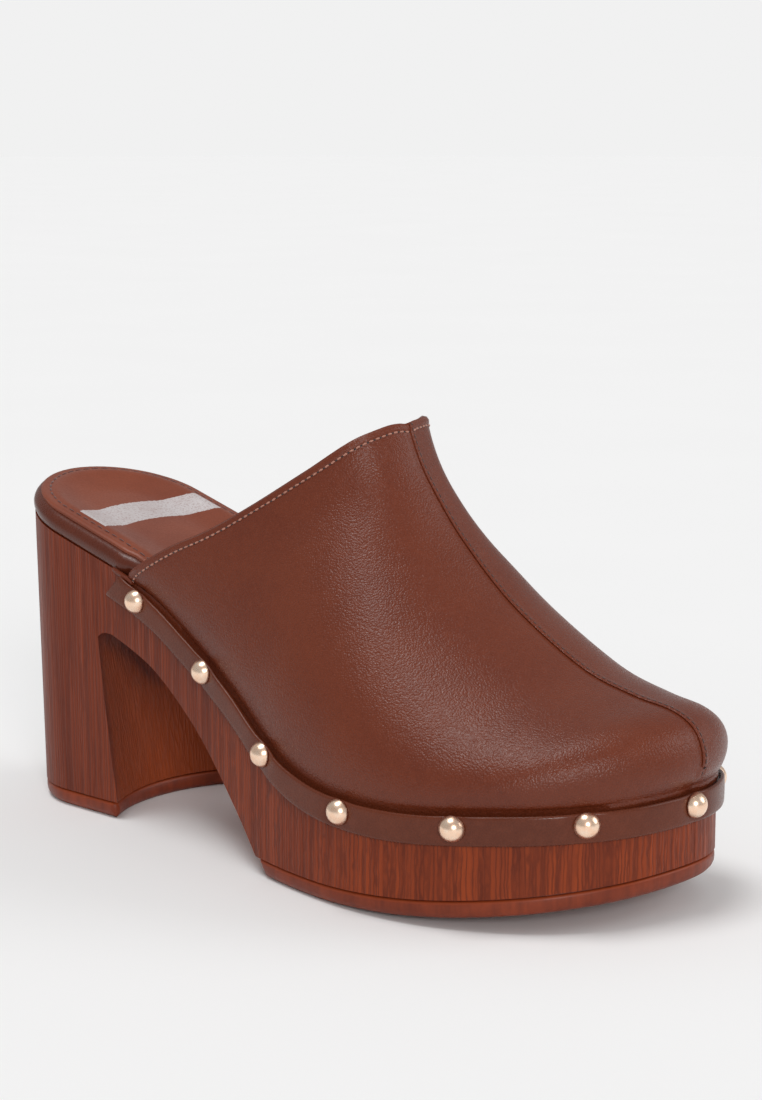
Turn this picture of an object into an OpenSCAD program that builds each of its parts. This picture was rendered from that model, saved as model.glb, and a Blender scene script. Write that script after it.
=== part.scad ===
/* [Base] */
// Height of the heel's footbed edge at the very back
heel_height = 95.5; // [88:0.5:100]
// Height of the platform's top edge under the ball of the foot
platform_height = 32; // [29:0.5:35]
// Half width of the heel seat
heel_half = 31; // [29:0.5:33]
// Thickness of the tread layers under the platform and the heel
tread = 5.5; // [4:0.5:7]
// How far the tread rises at the toe
toe_spring = 9; // [2:0.5:10]
// How far the heel's front face is hollowed
breast_depth = 9.9; // [4:0.1:12]

/* [Upper] */
// Thickness of the upper leather
upper_thick = 1.5; // [1:0.1:1.5]
// Thickness of the lining
lining_thick = 0.8; // [0.5:0.1:1]
// How far the upper swells out above the band
upper_bulge = 7; // [2:0.5:9]

/* [Band and studs] */
// Height of the nailed band
band_height = 8.4; // [7:0.1:9]
// Thickness of the band
band_thick = 2.2; // [1.5:0.1:3]
// Diameter of a stud's dome
stud_dia = 7.4; // [6:0.1:8.5]
// Distance from one stud to the next along the band
stud_pitch = 36.4; // [34:0.2:37]

/* [Footbed] */
// Thickness of the insole board
board_thick = 2; // [1.5:0.1:2.5]
// Thickness of the foam cushion
foam_thick = 4.2; // [3:0.1:5]
// Thickness of the sock leather
sock_thick = 1.3; // [0.8:0.1:1.6]

/* [Hidden] */

// The part stands with its toe towards -Y and its inner side towards +X.
// The modules below work in plain shoe axes: x across, y forward from the heel's back, z up.
mid_x = 1.052;
mid_y = 122.598;

// Plan of the wood base from the outer heel corner, round the toe, to the inner heel corner
edge_points = [[-31, 30], [-31, 45], [-31, 60], [-33, 90], [-38, 118], [-43.5, 143], [-46, 166],
    [-44, 187], [-37, 206], [-25.5, 222.5], [-8, 235], [14.5, 239.2], [30.5, 236], [42, 227], [47.5, 211],
    [48, 190], [45, 165], [38, 135], [33.5, 105], [31, 75], [31, 50], [31, 30]];
tip = 11;
tip_x = 14.5;
seam_swing = 0.075;
crest_tilt = 0.06;
rear_out = 2.08;
rear_in = 19.58;
heel_back = 0.8;
corner_y = 30;

// Height of the base's top edge, as distance forward and height
rise = heel_height - platform_height;
top_points = [[-10, platform_height + 1.046 * rise], [35, platform_height + 0.85 * rise],
    [72, platform_height + 0.665 * rise], [91, platform_height + 0.512 * rise],
    [112, platform_height + 0.34 * rise], [130, platform_height + 0.165 * rise],
    [145, platform_height + 0.06 * rise], [162, platform_height + 0.01 * rise],
    [185, platform_height], [212, platform_height + 1.8], [245, platform_height + 3.8]];

// Underside of the arch, from the heel's front face down to the platform
arch_points = [[40, 60.5], [50, 60], [63, 56], [74, 51.5], [84, 45], [98, 34], [113, 19.5], [124, 7.5],
    [131, -1]];
breast_y = 55.5;
breast_tilt = 8.5;

// Centre seam of the upper, as distance forward and height above the platform's top edge
seam_points = [[142.5, 96.5], [147, 85.5], [153, 76], [163, 63.5], [180, 47.5], [203, 33], [220, 27.5],
    [233, 25], [240, 21], [243, 14.5], [242.4, 8.5], [239.5, 5]];
seam_last = len(seam_points) - 1;

// Outer half of the topline from the feather edge up to the throat
topline_points = [[-31.2, 62.5, 77.4], [-33.2, 68, 82], [-31.5, 82, 90], [-28.5, 96, 96.5],
    [-24, 110, 105], [-17.5, 125, 115.5], [-8, 137.5, 125.5], [7.2, 142.5, 128.5]];
topline_last = len(topline_points) - 1;
inner_peak = 4;

wall_steps = 5;
heel_steps = 20;
fan_steps = 34;
arch_steps = 12;
skirt_rows = 2;
clear = 0.05;

// ---- curves ----

function hermite(a, b, ta, tb, t) =
    a * (2 * t * t * t - 3 * t * t + 1) + ta * (t * t * t - 2 * t * t + t)
    + b * (3 * t * t - 2 * t * t * t) + tb * (t * t * t - t * t);

function clip(value, low, high) = min(max(value, low), high);

// Tangent of a chain of points at point i
function chain_tangent(points, i) =
    (points[min(i + 1, len(points) - 1)] - points[max(i - 1, 0)]) / 2;

// Smooth curve through a chain of points, at place p counted in points
function chain_at(points, p) =
    let (i = clip(floor(p), 0, len(points) - 2))
    hermite(points[i], points[i + 1], chain_tangent(points, i), chain_tangent(points, i + 1), p - i);

function chain_slope(points, p) = chain_at(points, p + 0.02) - chain_at(points, p - 0.02);

// Smooth height over distance, through points given as [distance, height]
function slope_at(points, i) =
    let (a = points[max(i - 1, 0)], b = points[min(i + 1, len(points) - 1)])
    (b[1] - a[1]) / (b[0] - a[0]);

function height_over(points, y, i = 0) =
    i < len(points) - 2 && y > points[i + 1][0] ? height_over(points, y, i + 1)
    : let (run = points[i + 1][0] - points[i][0])
      hermite(points[i][1], points[i + 1][1], slope_at(points, i) * run, slope_at(points, i + 1) * run,
          (y - points[i][0]) / run);

function bezier(a, b, c, d, t) =
    a * pow(1 - t, 3) + b * (3 * t * pow(1 - t, 2)) + c * (3 * t * t * (1 - t)) + d * pow(t, 3);

function top_height(y) = height_over(top_points, y);

function spring_height(y) = toe_spring * pow(max(y - 145, 0) / 93, 2);

// ---- plan ----

// Outward normal of the plan at place p
function edge_normal(p) =
    let (s = chain_slope(edge_points, clip(p, 0.02, len(edge_points) - 1.02)))
    [-s[1], s[0]] / norm(s);

// Point of the plan at place p, moved outwards
function edge_at(p, out = 0) =
    let (e = chain_at(edge_points, p))
    [e[0] * (abs(e[0]) > 30.99 && e[1] < 61 ? heel_half / 31 : 1), e[1]] + edge_normal(p) * out;

function heel_arc(out) =
    [for (k = [1:heel_steps - 1])
        let (a = 90 - 180 * k / heel_steps)
        [(heel_half + out) * sin(a), corner_y - (corner_y - heel_back + out) * cos(a)]];

function plan_points(out) =
    concat([for (k = [0:(len(edge_points) - 1) * wall_steps]) edge_at(k / wall_steps, out)], heel_arc(out));

module plan(out) {
    polygon(plan_points(out));
}

module plan_block(out) {
    translate([0, 0, -20]) linear_extrude(160) plan(out);
}

// Everything between two lines that run across the shoe, given as [forward, up] outlines
module across(outline) {
    rotate([90, 0, 90]) translate([0, 0, -70]) linear_extrude(140) polygon(outline);
}

// Layer that follows the base's top edge from one height above it to another
module top_layer(low, high) {
    across(concat([for (y = [-5:6:245]) [y, top_height(y) + low]],
        [for (y = [245:-6:-5]) [y, top_height(y) + high]]));
}

// Layer that follows the tread's underside
module tread_layer(low, high, from, to) {
    across(concat([for (y = [from:(to - from) / 16:to + 0.01]) [y, spring_height(y) + low]],
        [for (y = [to:(from - to) / 16:from - 0.01]) [y, spring_height(y) + high]]));
}

// ---- lofts ----

// Closed skin over rings of equal length. A ring runs up one face and back down the other.
function loft_faces(rings, size, flip) =
    let (sides = [for (i = [0:rings - 2]) for (k = [0:size - 1])
            let (a = i * size + k, b = i * size + (k + 1) % size)
            each [[a, b, b + size], [a, b + size, a + size]]],
        caps = [for (k = [0:size / 2 - 2])
            let (a = k, b = k + 1, c = size - 2 - k, d = size - 1 - k, far = (rings - 1) * size)
            each [[a, c, b], [a, d, c], [far + a, far + b, far + c], [far + a, far + c, far + d]]],
        all = concat(sides, caps))
    flip ? [for (f = all) [f[0], f[2], f[1]]] : all;

module loft(rings, flip) {
    size = len(rings[0]);
    polyhedron([for (ring = rings) each ring], loft_faces(len(rings), size, flip));
}

// ---- upper ----

function seam_x(y) = tip_x - seam_swing * (239.2 - y);

// Point of the centre seam at share q of its length, sunk into the upper
function seam_at(q, sink) =
    let (p = q * seam_last, s = chain_slope(seam_points, clip(p, 0.02, seam_last - 0.02)),
        n = [s[1], -s[0]] / norm(s), c = chain_at(seam_points, p) + n * sink)
    [seam_x(c[0]), c[0], c[1] + platform_height];

// Place on the plan where section t of the upper starts, on the outer or the inner side
function fan_place(side, t) = side < 0 ? rear_out + (tip - rear_out) * t : rear_in + (tip - rear_in) * t;

function topline_at(side, v) =
    let (c = chain_at(topline_points, v * topline_last), peak = inner_peak * pow(sin(180 * v), 2) * v)
    side < 0 ? c : [2 * seam_x(c[1]) * v - c[0] + peak, c[1] - peak, c[2] + peak];

function fan_raw(side, t, v, sink) =
    let (e = edge_at(fan_place(side, t), -sink), n = edge_normal(fan_place(side, t)),
        base = top_height(e[1]) + 0.2, c = seam_at(pow(t, 1.35), sink), tall = c[2] - base,
        swell = upper_bulge * min(1, tall / 24) * (0.55 + 0.45 * t),
        reach = (side < 0 ? 0.6 : 0.75) * abs(c[0] - e[0]))
    bezier([e[0], e[1], base], [e[0] + n[0] * swell, e[1] + n[1] * swell, base + tall * 0.5],
        [c[0] + side * reach, c[1], c[2] + side * reach * crest_tilt * (1 - t)], c, v);

// Point of the upper's skin: section t runs from the rear end to the toe, v from the edge to the seam
function upper_at(side, t, v, sink) =
    let (fade = pow(max(0, 1 - t / 0.55), 2))
    fan_raw(side, t, v, sink) + fade * (topline_at(side, v) - fan_raw(side, 0, v, 0));

// The leather runs down behind the band as a skirt
function skirt_at(side, t, depth, sink) =
    let (e = edge_at(fan_place(side, t), -sink), drop = min(depth, 1.5 + 30 * t))
    [e[0], e[1], top_height(e[1]) - drop];

function shell_ring(side, t, outer, inner, skirt) =
    let (rows = [for (j = [0:arch_steps]) j / arch_steps])
    concat(skirt > 0 ? [skirt_at(side, t, skirt, outer)] : [],
        [for (v = rows) upper_at(side, t, v, outer)],
        [for (v = rows) upper_at(side, t, 1 - v, inner)],
        skirt > 0 ? [skirt_at(side, t, skirt, inner)] : []);

module upper_shell(side, outer, inner, skirt, first = 0) {
    loft([for (i = [0:fan_steps]) shell_ring(side, first + (1 - first) * i / fan_steps, outer, inner, skirt)],
        side > 0);
}

// ---- studs ----

place_table = [for (k = 0, p = 0, far = 0; p <= 21.001;
    far = far + norm(rim_point(p + 0.1) - rim_point(p)), p = p + 0.1, k = k + 1) [far, p]];

function rim_point(p) =
    let (e = edge_at(p, band_thick))
    [e[0], e[1], top_height(e[1])];

function swapped(table) = [for (row = table) [row[1], row[0]]];

function stud_place(i) =
    lookup(lookup(tip, swapped(place_table)) + i * stud_pitch * (i > 0 ? inner_share : 1), place_table);

studs_each_side = 6;
stud_lift = 0.8;
inner_share = 0.975;

// Puts children at each stud from first to last, with z pointing out of the band
module at_studs(first, last) {
    for (i = [first:last]) {
        p = stud_place(i);
        e = edge_at(p, band_thick);
        n = edge_normal(p);
        translate([e[0], e[1], top_height(e[1]) - band_height / 2 - 0.3 + stud_lift])
            rotate([0, 90, atan2(n[1], n[0])])
                children();
    }
}

shank_radius = 0.8;
shank_depth = 14;
shank_turn = 25;

module stud_shanks(radius, first = -studs_each_side, last = studs_each_side) {
    at_studs(first, last)
        rotate([0, 0, shank_turn])
            translate([0, 0, -shank_depth])
                cylinder(r = radius, h = shank_depth, $fn = 24);
}

// ---- base ----

module base_profile() {
    across(concat([[-5, tread + clear]],
        [for (y = [150:6:246]) [y, spring_height(y) + tread + clear]],
        [for (y = [245:-6:-5]) [y, top_height(y)]]));
}

// Space between the heel's front face and the platform, under the arch
module arch_space() {
    radius = (heel_half * heel_half + breast_depth * breast_depth) / (2 * breast_depth);
    intersection() {
        across(concat([[30, -1], [30, 60.5]], [for (k = [0:4 * (len(arch_points) - 1)]) chain_at(arch_points, k / 4)]));
        translate([0, breast_y - breast_depth, 0]) rotate([breast_tilt, 0, 0]) translate([0, 0, -20]) union() {
            translate([0, radius, 0]) cylinder(r = radius, h = 120, $fn = 120);
            translate([-70, radius, 0]) cube([140, 90, 120]);
        }
    }
}

module shank_bar(extra) {
    intersection() {
        translate([-6 - extra, 18 - extra, 0]) cube([12 + 2 * extra, 132 + 2 * extra, 120]);
        top_layer(-2 - extra, extra > 0 ? 2 : 0);
    }
}

rivet_places = [28, 140];
tack_places = [[0, 14], [0, 60], [-22, 165], [26, 165], [8, 218]];
nail_places = [[-18, 20], [18, 20], [-18, 38], [18, 38], [0, 12]];

module rivets(radius, head) {
    for (y = rivet_places) {
        translate([0, y, top_height(y) - 14]) cylinder(r = radius, h = 12, $fn = 32);
        translate([0, y, top_height(y) - 2.6]) cylinder(r = radius, h = 1.9, $fn = 32);
    }
}

module tacks(radius) {
    for (place = tack_places)
        translate([place[0], place[1], top_height(place[1]) - 9]) cylinder(r = radius, h = 10, $fn = 24);
}

module nails(radius) {
    for (place = nail_places) translate([place[0], place[1], 1.5]) cylinder(r = radius, h = 18, $fn = 24);
}

// Slot for the leather skirt, cut into the wood's side below the top edge
module skirt_rebate() {
    intersection() {
        difference() {
            plan_block(3);
            plan_block(-upper_thick - clear);
        }
        top_layer(-band_height - 0.4, 3);
        across([[61, -10], [61, 140], [250, 140], [250, -10]]);
    }
}

module clog_base() {
    color("sienna") difference() {
        intersection() {
            plan_block(0);
            base_profile();
        }
        arch_space();
        skirt_rebate();
        shank_bar(clear);
        rivets(2 + clear);
        tacks(0.8 + clear);
        nails(1 + clear);
        stud_shanks(shank_radius + clear);
    }
}

// Tread with a rounded lower edge and a groove under the wood, built as three steps
module tread_stack(from, to) {
    intersection() {
        plan_block(-2.6);
        tread_layer(0, 1.2, from, to);
    }
    intersection() {
        plan_block(-0.8);
        tread_layer(1.2, tread - 1, from, to);
    }
    intersection() {
        plan_block(-1.6);
        tread_layer(tread - 1, tread, from, to);
    }
}

module platform_outsole() {
    color("saddlebrown") difference() {
        tread_stack(120, 245);
        arch_space();
    }
}

module heel_top_piece() {
    color("saddlebrown") difference() {
        tread_stack(-5, 59);
        arch_space();
        nails(1 + clear);
    }
}

module top_piece_nails() {
    color("silver") nails(1);
}

module shank() {
    color("gray") difference() {
        shank_bar(0);
        rivets(2 + clear);
    }
}

module shank_rivets() {
    color("silver") rivets(2);
}

// ---- footbed ----

seat_end = 60.8;
upper_inset = 3.3;

// Everything behind a line across the shoe
module behind(y) {
    translate([-70, -10, -10]) cube([140, y + 10, 150]);
}

footbed_inset = 5.2;
sock_inset = 2;
wrap_end = 92;

module insole_board() {
    color("tan") difference() {
        intersection() {
            plan_block(-footbed_inset);
            top_layer(clear, board_thick);
        }
        tacks(0.8 + clear);
    }
}

module insole_tacks() {
    color("silver") tacks(0.8);
}

module footbed_foam() {
    color("lightyellow") intersection() {
        plan_block(-footbed_inset);
        top_layer(board_thick + clear, board_thick + foam_thick);
    }
}

module sock_lining() {
    low = board_thick + foam_thick + clear;
    color("peru") {
        intersection() {
            plan_block(-sock_inset);
            top_layer(low, low + sock_thick);
            behind(seat_end);
        }
        intersection() {
            plan_block(-upper_inset);
            top_layer(low, low + sock_thick);
        }
    }
}

// Rolled edge round the heel seat, stepped in towards the top, that runs on inside the upper
module footbed_wrap() {
    color("saddlebrown") difference() {
        union() {
            intersection() {
                plan_block(-0.4);
                top_layer(clear, board_thick + foam_thick - 1.6);
                behind(seat_end);
            }
            intersection() {
                plan_block(-1.2);
                top_layer(board_thick + foam_thick - 1.6, board_thick + foam_thick);
                behind(seat_end);
            }
            intersection() {
                plan_block(-upper_inset);
                top_layer(clear, board_thick + foam_thick);
                behind(wrap_end);
            }
        }
        plan_block(clear - footbed_inset);
    }
}

// ---- leather ----

module vamp(side) {
    color("sienna") difference() {
        upper_shell(side, 0, upper_thick, band_height);
        stud_shanks(shank_radius + clear, side < 0 ? -studs_each_side : 0, side < 0 ? 0 : studs_each_side);
    }
}

module vamp_lateral() {
    vamp(-1);
}

module vamp_medial() {
    vamp(1);
}

puff_start = 0.72;
puff_thick = 0.7;

// Outer and inner half of a layer inside the upper, kept just apart along the centre seam
module inner_layer(outer, inner, first = 0) {
    for (side = [-1, 1])
        translate([side * clear, 0, 0])
            upper_shell(side, outer, inner, 0, first);
}

module vamp_lining() {
    outer = upper_thick + puff_thick + 3 * clear;
    color("tan") inner_layer(outer, outer + lining_thick);
}

module toe_puff() {
    outer = upper_thick + clear;
    color("beige") inner_layer(outer, outer + puff_thick, puff_start);
}

module welt_band() {
    color("saddlebrown") difference() {
        intersection() {
            difference() {
                plan_block(band_thick);
                plan_block(clear);
            }
            top_layer(-band_height - 0.3, -0.3);
            across([[61, 140], [61, 77.5], [54, 71.5], [54, -10], [250, -10], [250, 140]]);
        }
        stud_shanks(shank_radius + clear);
    }
}

module dome_studs() {
    radius = stud_dia / 2;
    color("gold") {
        stud_shanks(shank_radius);
        at_studs(-studs_each_side, studs_each_side) intersection() {
            translate([0, 0, -0.8]) sphere(r = radius + 0.1, $fn = 48);
            cylinder(r = radius, h = radius, $fn = 48);
        }
    }
}

module stand() {
    translate([-mid_x, mid_y, 0]) mirror([0, 1, 0]) children();
}

stand() clog_base();
stand() platform_outsole();
stand() heel_top_piece();
stand() top_piece_nails();
stand() shank();
stand() shank_rivets();
stand() insole_board();
stand() insole_tacks();
stand() footbed_foam();
stand() sock_lining();
stand() footbed_wrap();
stand() vamp_lateral();
stand() vamp_medial();
stand() vamp_lining();
stand() toe_puff();
stand() welt_band();
stand() dome_studs();
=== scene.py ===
import math
import bmesh
import bpy
from mathutils import Matrix, Vector, noise


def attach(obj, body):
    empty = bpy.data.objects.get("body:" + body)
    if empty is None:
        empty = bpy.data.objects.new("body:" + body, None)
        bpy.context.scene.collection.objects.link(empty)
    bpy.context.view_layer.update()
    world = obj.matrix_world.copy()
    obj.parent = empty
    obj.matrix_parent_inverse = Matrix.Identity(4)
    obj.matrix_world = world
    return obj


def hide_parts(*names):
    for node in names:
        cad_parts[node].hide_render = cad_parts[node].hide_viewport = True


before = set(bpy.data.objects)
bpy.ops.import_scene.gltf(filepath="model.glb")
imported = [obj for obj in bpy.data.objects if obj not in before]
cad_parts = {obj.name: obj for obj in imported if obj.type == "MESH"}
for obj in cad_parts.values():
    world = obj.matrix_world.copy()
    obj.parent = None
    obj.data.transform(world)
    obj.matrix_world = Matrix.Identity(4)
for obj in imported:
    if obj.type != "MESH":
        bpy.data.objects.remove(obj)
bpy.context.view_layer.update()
print("frame loaded")

# lines of the clog, in millimetres: x across, y forward from the heel's back, z up
clog = {"midX": 1.052, "midY": 122.598, "heelHalf": 31.0, "cornerY": 30.0, "heelBack": 0.8,
        "platform": 32.0, "tread": 5.5, "toeSpring": 9.0, "springY": 145, "springRun": 93,
        "breastY": 55.5, "breastDepth": 9.9, "breastLean": 0.1495, "heelTaper": 0.04,
        "backTaper": 2.0, "taperTop": 90}
cornerY = clog["cornerY"]
heelReach = cornerY - clog["heelBack"]

edgePoints = [(-31, 30), (-31, 45), (-31, 60), (-33, 90), (-38, 118), (-43.5, 143), (-46, 166),
              (-44, 187), (-37, 206), (-25.5, 222.5), (-8, 235), (14.5, 239.2), (30.5, 236), (42, 227),
              (47.5, 211), (48, 190), (45, 165), (38, 135), (33.5, 105), (31, 75), (31, 50), (31, 30)]
topPoints = [(-10, 98.421), (35, 85.975), (72, 74.2275), (91, 64.512), (112, 53.59), (130, 42.4775),
             (145, 35.81), (162, 32.635), (185, 32), (212, 33.8), (245, 35.8)]
archPoints = [(40, 60.5), (50, 60), (63, 56), (74, 51.5), (84, 45), (98, 34), (113, 19.5),
              (124, 7.5), (131, -1)]
seamPoints = [(142.5, 96.5), (147, 85.5), (153, 76), (163, 63.5), (180, 47.5), (203, 33), (220, 27.5),
              (233, 25), (240, 21), (243, 14.5), (242.4, 8.5), (239.5, 5)]
toplinePoints = [(-31.2, 62.5, 77.4), (-33.2, 68, 82), (-31.5, 82, 90), (-28.5, 96, 96.5),
                 (-24, 110, 105), (-17.5, 125, 115.5), (-8, 137.5, 125.5), (7.2, 142.5, 128.5)]
edgePoints, topPoints, archPoints, seamPoints, toplinePoints = (
    [Vector(point) for point in line]
    for line in (edgePoints, topPoints, archPoints, seamPoints, toplinePoints))


def toRow(x, y, z):  # millimetres of the clog's own axes to the shared frame in metres
    return Vector(((x - clog["midX"]) / 1000, (clog["midY"] - y) / 1000, z / 1000))


def clip(value, low, high):
    return min(max(value, low), high)


def smooth(low, high, value):
    share = clip((value - low) / (high - low), 0, 1)
    return share * share * (3 - 2 * share)


def mix(a, b, share):
    return a + (b - a) * share


def hermite(a, b, leave, arrive, t):
    return (a * (2 * t**3 - 3 * t * t + 1) + leave * (t**3 - 2 * t * t + t)
            + b * (3 * t * t - 2 * t**3) + arrive * (t**3 - t * t))


def chainTangent(points, i):
    return (points[min(i + 1, len(points) - 1)] - points[max(i - 1, 0)]) / 2


def chainAt(points, place):
    i = int(clip(math.floor(place), 0, len(points) - 2))
    return hermite(points[i], points[i + 1], chainTangent(points, i), chainTangent(points, i + 1), place - i)


def chainSlope(points, place):
    return chainAt(points, place + 0.02) - chainAt(points, place - 0.02)


def slopeAt(i):
    a, b = topPoints[max(i - 1, 0)], topPoints[min(i + 1, len(topPoints) - 1)]
    return (b[1] - a[1]) / (b[0] - a[0])


def topHeight(y):  # height of the wood's top edge
    i = 0
    while i < len(topPoints) - 2 and y > topPoints[i + 1][0]:
        i += 1
    a, b = topPoints[i], topPoints[i + 1]
    run = b[0] - a[0]
    return hermite(a[1], b[1], slopeAt(i) * run, slopeAt(i + 1) * run, (y - a[0]) / run)


def bezier(a, b, c, d, t):
    return a * (1 - t)**3 + b * (3 * t * (1 - t)**2) + c * (3 * t * t * (1 - t)) + d * t**3


def springHeight(y):
    return clog["toeSpring"] * (max(y - clog["springY"], 0) / clog["springRun"])**2


def edgeNormal(place):
    s = chainSlope(edgePoints, clip(place, 0.02, len(edgePoints) - 1.02))
    return Vector((-s[1], s[0])).normalized()


def edgeAt(place, out=0.0):
    return chainAt(edgePoints, place) + edgeNormal(place) * out


# place of the toe's tip on the plan
toePlace = max((chainAt(edgePoints, 10.5 + k / 200)[1], 10.5 + k / 200) for k in range(200))[1]


def placeOf(side, y):  # place on the plan at a distance forward, on the outer (-1) or inner (1) side
    low, high = (0.0 if side < 0 else len(edgePoints) - 1.0), toePlace
    for step in range(36):
        middle = (low + high) / 2
        if chainAt(edgePoints, middle)[1] < y:
            low = middle
        else:
            high = middle
    return (low + high) / 2


placeCache = {}


def wallAt(side, y, out=0.0):  # point of the plan on one side at a distance forward, moved outwards
    if y < cornerY:
        turn = math.asin(clip((cornerY - y) / heelReach, 0, 1))
        return Vector((side * (clog["heelHalf"] + out) * math.cos(turn),
                       cornerY - (heelReach + out) * math.sin(turn)))
    key = (side, round(y, 4))
    if key not in placeCache:
        placeCache[key] = placeOf(side, y)
    return edgeAt(placeCache[key], out)


def taper(x, y, z):  # the heel narrows a little towards the floor
    low = 1 - clip(z / clog["taperTop"], 0, 1)
    share = low * (1 - smooth(58, 80, y))
    return x * (1 - clog["heelTaper"] * share), y + clog["backTaper"] * share * clip(1 - y / 45, 0, 1)


# the upper's surface
upper = {"bulge": 7.0, "thick": 1.5, "liningThick": 0.8, "rearOuter": 2.08, "rearInner": 19.58,
         "tipPlace": 11.0, "innerPeak": 4.0, "crestTilt": 0.06, "bandHeight": 8.4,
         "innerCorner": 1.9, "outerCorner": 0.6}


def seamX(y):
    return 14.5 - 0.075 * (239.2 - y)


def seamAt(share, sink):
    last = len(seamPoints) - 1
    place = share * last
    s = chainSlope(seamPoints, clip(place, 0.02, last - 0.02))
    c = chainAt(seamPoints, place) + Vector((s[1], -s[0])).normalized() * sink
    return Vector((seamX(c[0]), c[0], c[1] + clog["platform"]))


def fanPlace(side, t):
    rear = upper["rearOuter"] if side < 0 else upper["rearInner"]
    return mix(rear, upper["tipPlace"], t)


def toplineAt(side, v):  # from the band up to the seam, with a small rise before it
    c = chainAt(toplinePoints, v * (len(toplinePoints) - 1))
    ease = 1 - smooth(0.965, 1.0, v)
    if side < 0:
        return c + Vector((0, 0, upper["outerCorner"] * ease * math.exp(-((v - 0.94) / 0.04)**2)))
    peak = upper["innerPeak"] * math.sin(math.pi * clip(v, 0, 1))**2 * v
    corner = upper["innerCorner"] * ease * math.exp(-((v - 0.86) / 0.1)**2)
    return Vector((2 * seamX(c[1]) * v - c[0] + peak + corner, c[1] - peak, c[2] + peak + corner))


def fanRaw(side, t, v, sink):  # t from the topline to the toe, v from the band to the seam
    e = edgeAt(fanPlace(side, t), -sink)
    n = edgeNormal(fanPlace(side, t))
    base = topHeight(e[1]) + 0.2
    c = seamAt(t**1.35, sink)
    tall = c[2] - base
    swell = upper["bulge"] * min(1, tall / 24) * (0.55 + 0.45 * t)
    reach = (0.6 if side < 0 else 0.75) * abs(c[0] - e[0])
    return bezier(Vector((e[0], e[1], base)),
                  Vector((e[0] + n[0] * swell, e[1] + n[1] * swell, base + tall * 0.5)),
                  Vector((c[0] + side * reach, c[1], c[2] + side * reach * upper["crestTilt"] * (1 - t))), c, v)


def upperAt(side, t, v, sink):
    fade = max(0, 1 - t / 0.55)**2
    point = fanRaw(side, t, v, sink)
    if fade > 0:
        point = point + fade * (toplineAt(side, v) - fanRaw(side, 0, v, 0))
    return point


def upperNormal(side, t, v):
    t0, v0 = clip(t, 0.004, 0.985), clip(v, 0.01, 0.99)
    along = upperAt(side, t0 + 0.004, v0, 0) - upperAt(side, t0 - 0.004, v0, 0)
    across = upperAt(side, t0, v0 + 0.01, 0) - upperAt(side, t0, v0 - 0.01, 0)
    n = along.cross(across).normalized()
    return n if n.dot(Vector((side * 0.6, 0.15, 0.8))) > 0 else -n


# mesh helpers
def gridShape(columns, rows, placeAt):  # a grid whose points are put where placeAt(column, row) says
    shape = bmesh.new()
    bmesh.ops.create_grid(shape, x_segments=columns, y_segments=rows, size=0.5)
    for vert in shape.verts:
        vert.co = placeAt(round((vert.co.x + 0.5) * columns), round((vert.co.y + 0.5) * rows))
    return shape


def sealShape(shape, distance):  # joins the seam and closes open ends
    bmesh.ops.remove_doubles(shape, verts=shape.verts, dist=distance)
    bmesh.ops.holes_fill(shape, edges=[edge for edge in shape.edges if edge.is_boundary], sides=0)


def closeShape(shape, distance):
    sealShape(shape, distance)
    bmesh.ops.recalc_face_normals(shape, faces=shape.faces)


def faceTowards(shape, towards):  # turns an open sheet so that its faces look along a direction
    total = 0.0
    shape.normal_update()
    for face in shape.faces:
        total += face.normal.dot(towards) * face.calc_area()
    if total < 0:
        bmesh.ops.reverse_faces(shape, faces=shape.faces)


def meshFrom(name, shape):
    mesh = bpy.data.meshes.new(name)
    shape.to_mesh(mesh)
    shape.free()
    return mesh


def placeInScene(name, data):
    thing = bpy.data.objects.new(name, data)
    bpy.context.scene.collection.objects.link(thing)
    return thing


def makePiece(name, shape, finish, slotName, standsFor=(), sharpAngle=40):
    mesh = meshFrom(name, shape)
    mesh.materials.append(finish)
    for polygon in mesh.polygons:
        polygon.use_smooth = True
    mesh.set_sharp_from_angle(angle=math.radians(sharpAngle))
    piece = placeInScene(name, mesh)
    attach(piece, "root")
    if standsFor:
        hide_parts(*standsFor)
    print(name, len(mesh.polygons), "faces")
    return piece


def closedPiece(name, columns, rows, placeAt, *rest, distance=0.000012):
    shape = gridShape(columns, rows, placeAt)
    closeShape(shape, distance)
    return makePiece(name, shape, *rest)


def addModifier(piece, kind, **values):
    modifier = piece.modifiers.new(kind.title(), kind)
    for key, value in values.items():
        setattr(modifier, key, value)
    return modifier


# materials
def tint(red, green, blue):  # colour from 0-255 screen values
    return tuple(((c / 255 + 0.055) / 1.055)**2.4 if c > 10 else c / 3294.6 for c in (red, green, blue)) + (1,)


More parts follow.
